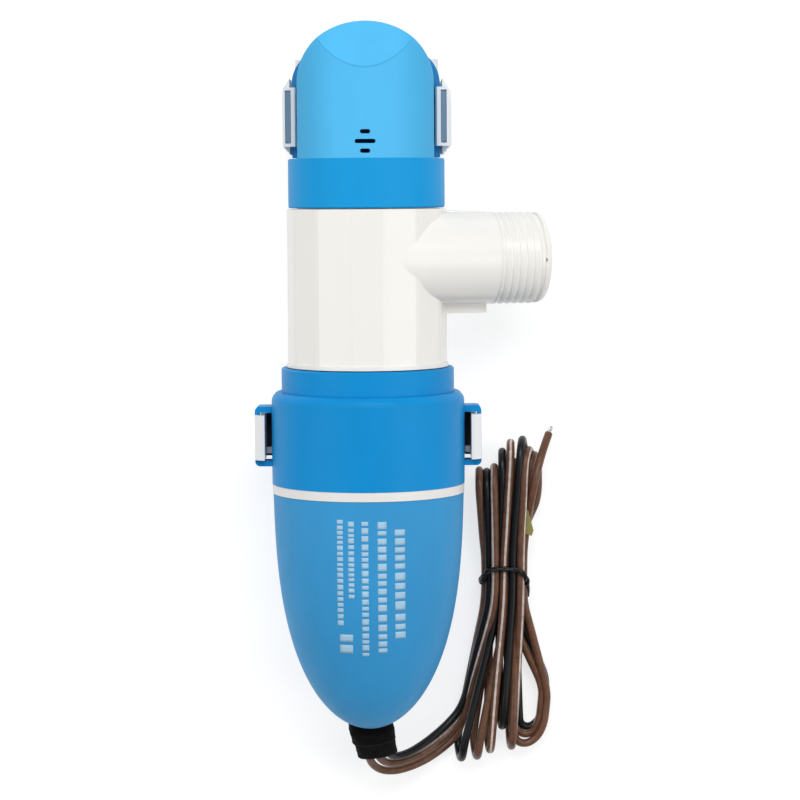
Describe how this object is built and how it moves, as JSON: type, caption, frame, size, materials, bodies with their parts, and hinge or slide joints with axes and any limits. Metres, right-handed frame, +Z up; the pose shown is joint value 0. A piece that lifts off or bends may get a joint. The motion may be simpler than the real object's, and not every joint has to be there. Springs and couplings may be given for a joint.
{
  "type": "bilge pump",
  "caption": "Low-profile electric submersible bilge pump with a swivelling threaded outlet, on a snap-in mounting cradle, with its leads in a tied hank.",
  "frame": {"origin": "on the underside of the cradle, straight below the pump axis at mid-housing", "axes": "+Z up; +Y along the pump axis towards the strainer; +X towards the outlet"},
  "size_m": [0.096, 0.2401, 0.0641],
  "materials": {
    "blue_body": "semi-gloss moulded",
    "blue_base": "semi-gloss moulded",
    "white_housing": "semi-gloss moulded",
    "white_cradle": "semi-gloss moulded",
    "white_band": "semi-gloss moulded",
    "grey_internal": "matte moulded",
    "seal_rubber": "matte",
    "boot_rubber": "satin",
    "steel": "bright",
    "copper": "enamelled copper",
    "bronze": "sintered bronze",
    "magnet": "matte ferrite",
    "carbon": "carbon",
    "board_green": "solder mask",
    "component_black": "moulded",
    "impeller_plastic": "glass-filled nylon",
    "wire_black": "satin PVC",
    "wire_brown": "satin PVC",
    "wire_striped": "satin PVC",
    "tie_black": "satin",
    "tag_yellow": "matte",
    "tinned": "tinned strands"
  },
  "bodies": {
    "pump": {"mounting_cradle": "white_cradle", "strainer_shell": "blue_body", "strainer_basket": "blue_base", "swivel_retainer": "steel", "housing_seal": "seal_rubber", "seal_housing": "grey_internal", "shaft_seal": "seal_rubber", "motor_collar": "blue_body", "band_ring": "white_band", "motor_shell": "blue_body", "motor_can": "steel", "motor_end_cap": "component_black", "field_magnets": "magnet", "front_bearing": "bronze", "rear_bearing": "bronze", "brushes": "carbon", "brush_springs": "copper", "control_board": "board_green", "board_components": "component_black", "board_screws": "steel", "board_carrier": "grey_internal", "motor_leads": "wire_black", "water_sensor": "steel", "cable_boot": "boot_rubber", "wire_black": "wire_black", "wire_striped": "wire_striped", "wire_brown": "wire_brown", "wire_brown_end": "wire_brown", "stripped_tip": "tinned", "wire_hank": "wire_brown", "hank_tie": "tie_black", "wire_tag": "tag_yellow"},
    "outlet_housing": {"volute_housing": "white_housing", "volute_end_plate": "white_housing", "strainer_seal": "seal_rubber"},
    "rotor": {"motor_shaft": "steel", "impeller": "impeller_plastic", "impeller_nut": "steel", "armature_core": "steel", "armature_windings": "copper", "commutator": "copper", "thrust_washers": "steel"},
    "arm_upper_right": {"upper_arm_right": "white_cradle"},
    "arm_upper_left": {"upper_arm_left": "white_cradle"},
    "arm_lower_right": {"lower_arm_right": "white_cradle"},
    "arm_lower_left": {"lower_arm_left": "white_cradle"}
  },
  "joints": [
    {"name": "outlet_swivel", "type": "hinge", "parent": "pump", "child": "outlet_housing", "pos_m": [0, 0, 0.034], "axis": [0, -1, 0], "range_deg": [-5, 105]},
    {"name": "rotor_spin", "type": "hinge", "parent": "pump", "child": "rotor", "pos_m": [0, 0, 0.034], "axis": [0, 1, 0], "continuous": true},
    {"name": "upper_arm_right_flex", "type": "hinge", "parent": "pump", "child": "arm_upper_right", "pos_m": [0.0247, 0, 0.005], "axis": [0, 1, 0], "range_deg": [0, 7], "stiffness_Nm_per_rad": 3},
    {"name": "upper_arm_left_flex", "type": "hinge", "parent": "pump", "child": "arm_upper_left", "pos_m": [-0.0247, 0, 0.005], "axis": [0, -1, 0], "range_deg": [0, 7], "stiffness_Nm_per_rad": 3},
    {"name": "lower_arm_right_flex", "type": "hinge", "parent": "pump", "child": "arm_lower_right", "pos_m": [0.033, 0, 0.005], "axis": [0, -1, 0], "range_deg": [0, 2.3], "stiffness_Nm_per_rad": 3},
    {"name": "lower_arm_left_flex", "type": "hinge", "parent": "pump", "child": "arm_lower_left", "pos_m": [-0.033, 0, 0.005], "axis": [0, 1, 0], "range_deg": [0, 2.3], "stiffness_Nm_per_rad": 3}
  ]
}
